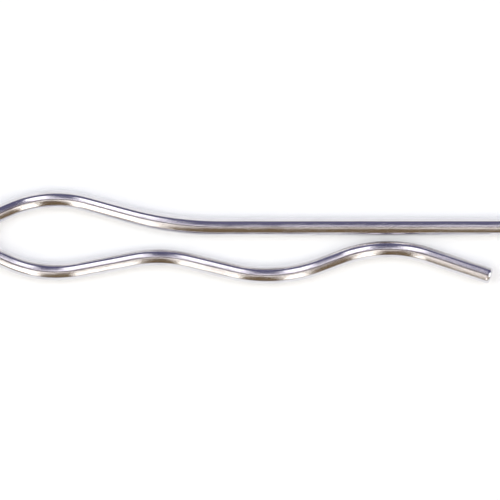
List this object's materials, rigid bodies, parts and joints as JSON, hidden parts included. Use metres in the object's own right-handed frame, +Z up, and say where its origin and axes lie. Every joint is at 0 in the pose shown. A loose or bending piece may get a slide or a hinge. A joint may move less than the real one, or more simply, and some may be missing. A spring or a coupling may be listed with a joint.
{
  "type": "hairpin cotter pin",
  "caption": "Hairpin cotter bent from round spring wire, with a straight leg, an open bow, and a waved leg that seats on a shaft and ends in a flared tip.",
  "frame": {"origin": "on the surface that the pin lies on, under the middle of its length and width", "axes": "+X along the straight leg toward its free end, +Y from the waved leg toward the straight leg, +Z up, square to the plane of the bends"},
  "size_m": [0.0636, 0.011, 0.002],
  "materials": {
    "zinc_plated_wire": "cold-drawn round spring steel wire with bright zinc plating, fine draw lines along it and soft bend-tool marks"
  },
  "bodies": {
    "root": {"spring_wire": "zinc_plated_wire"}
  },
  "joints": []
}
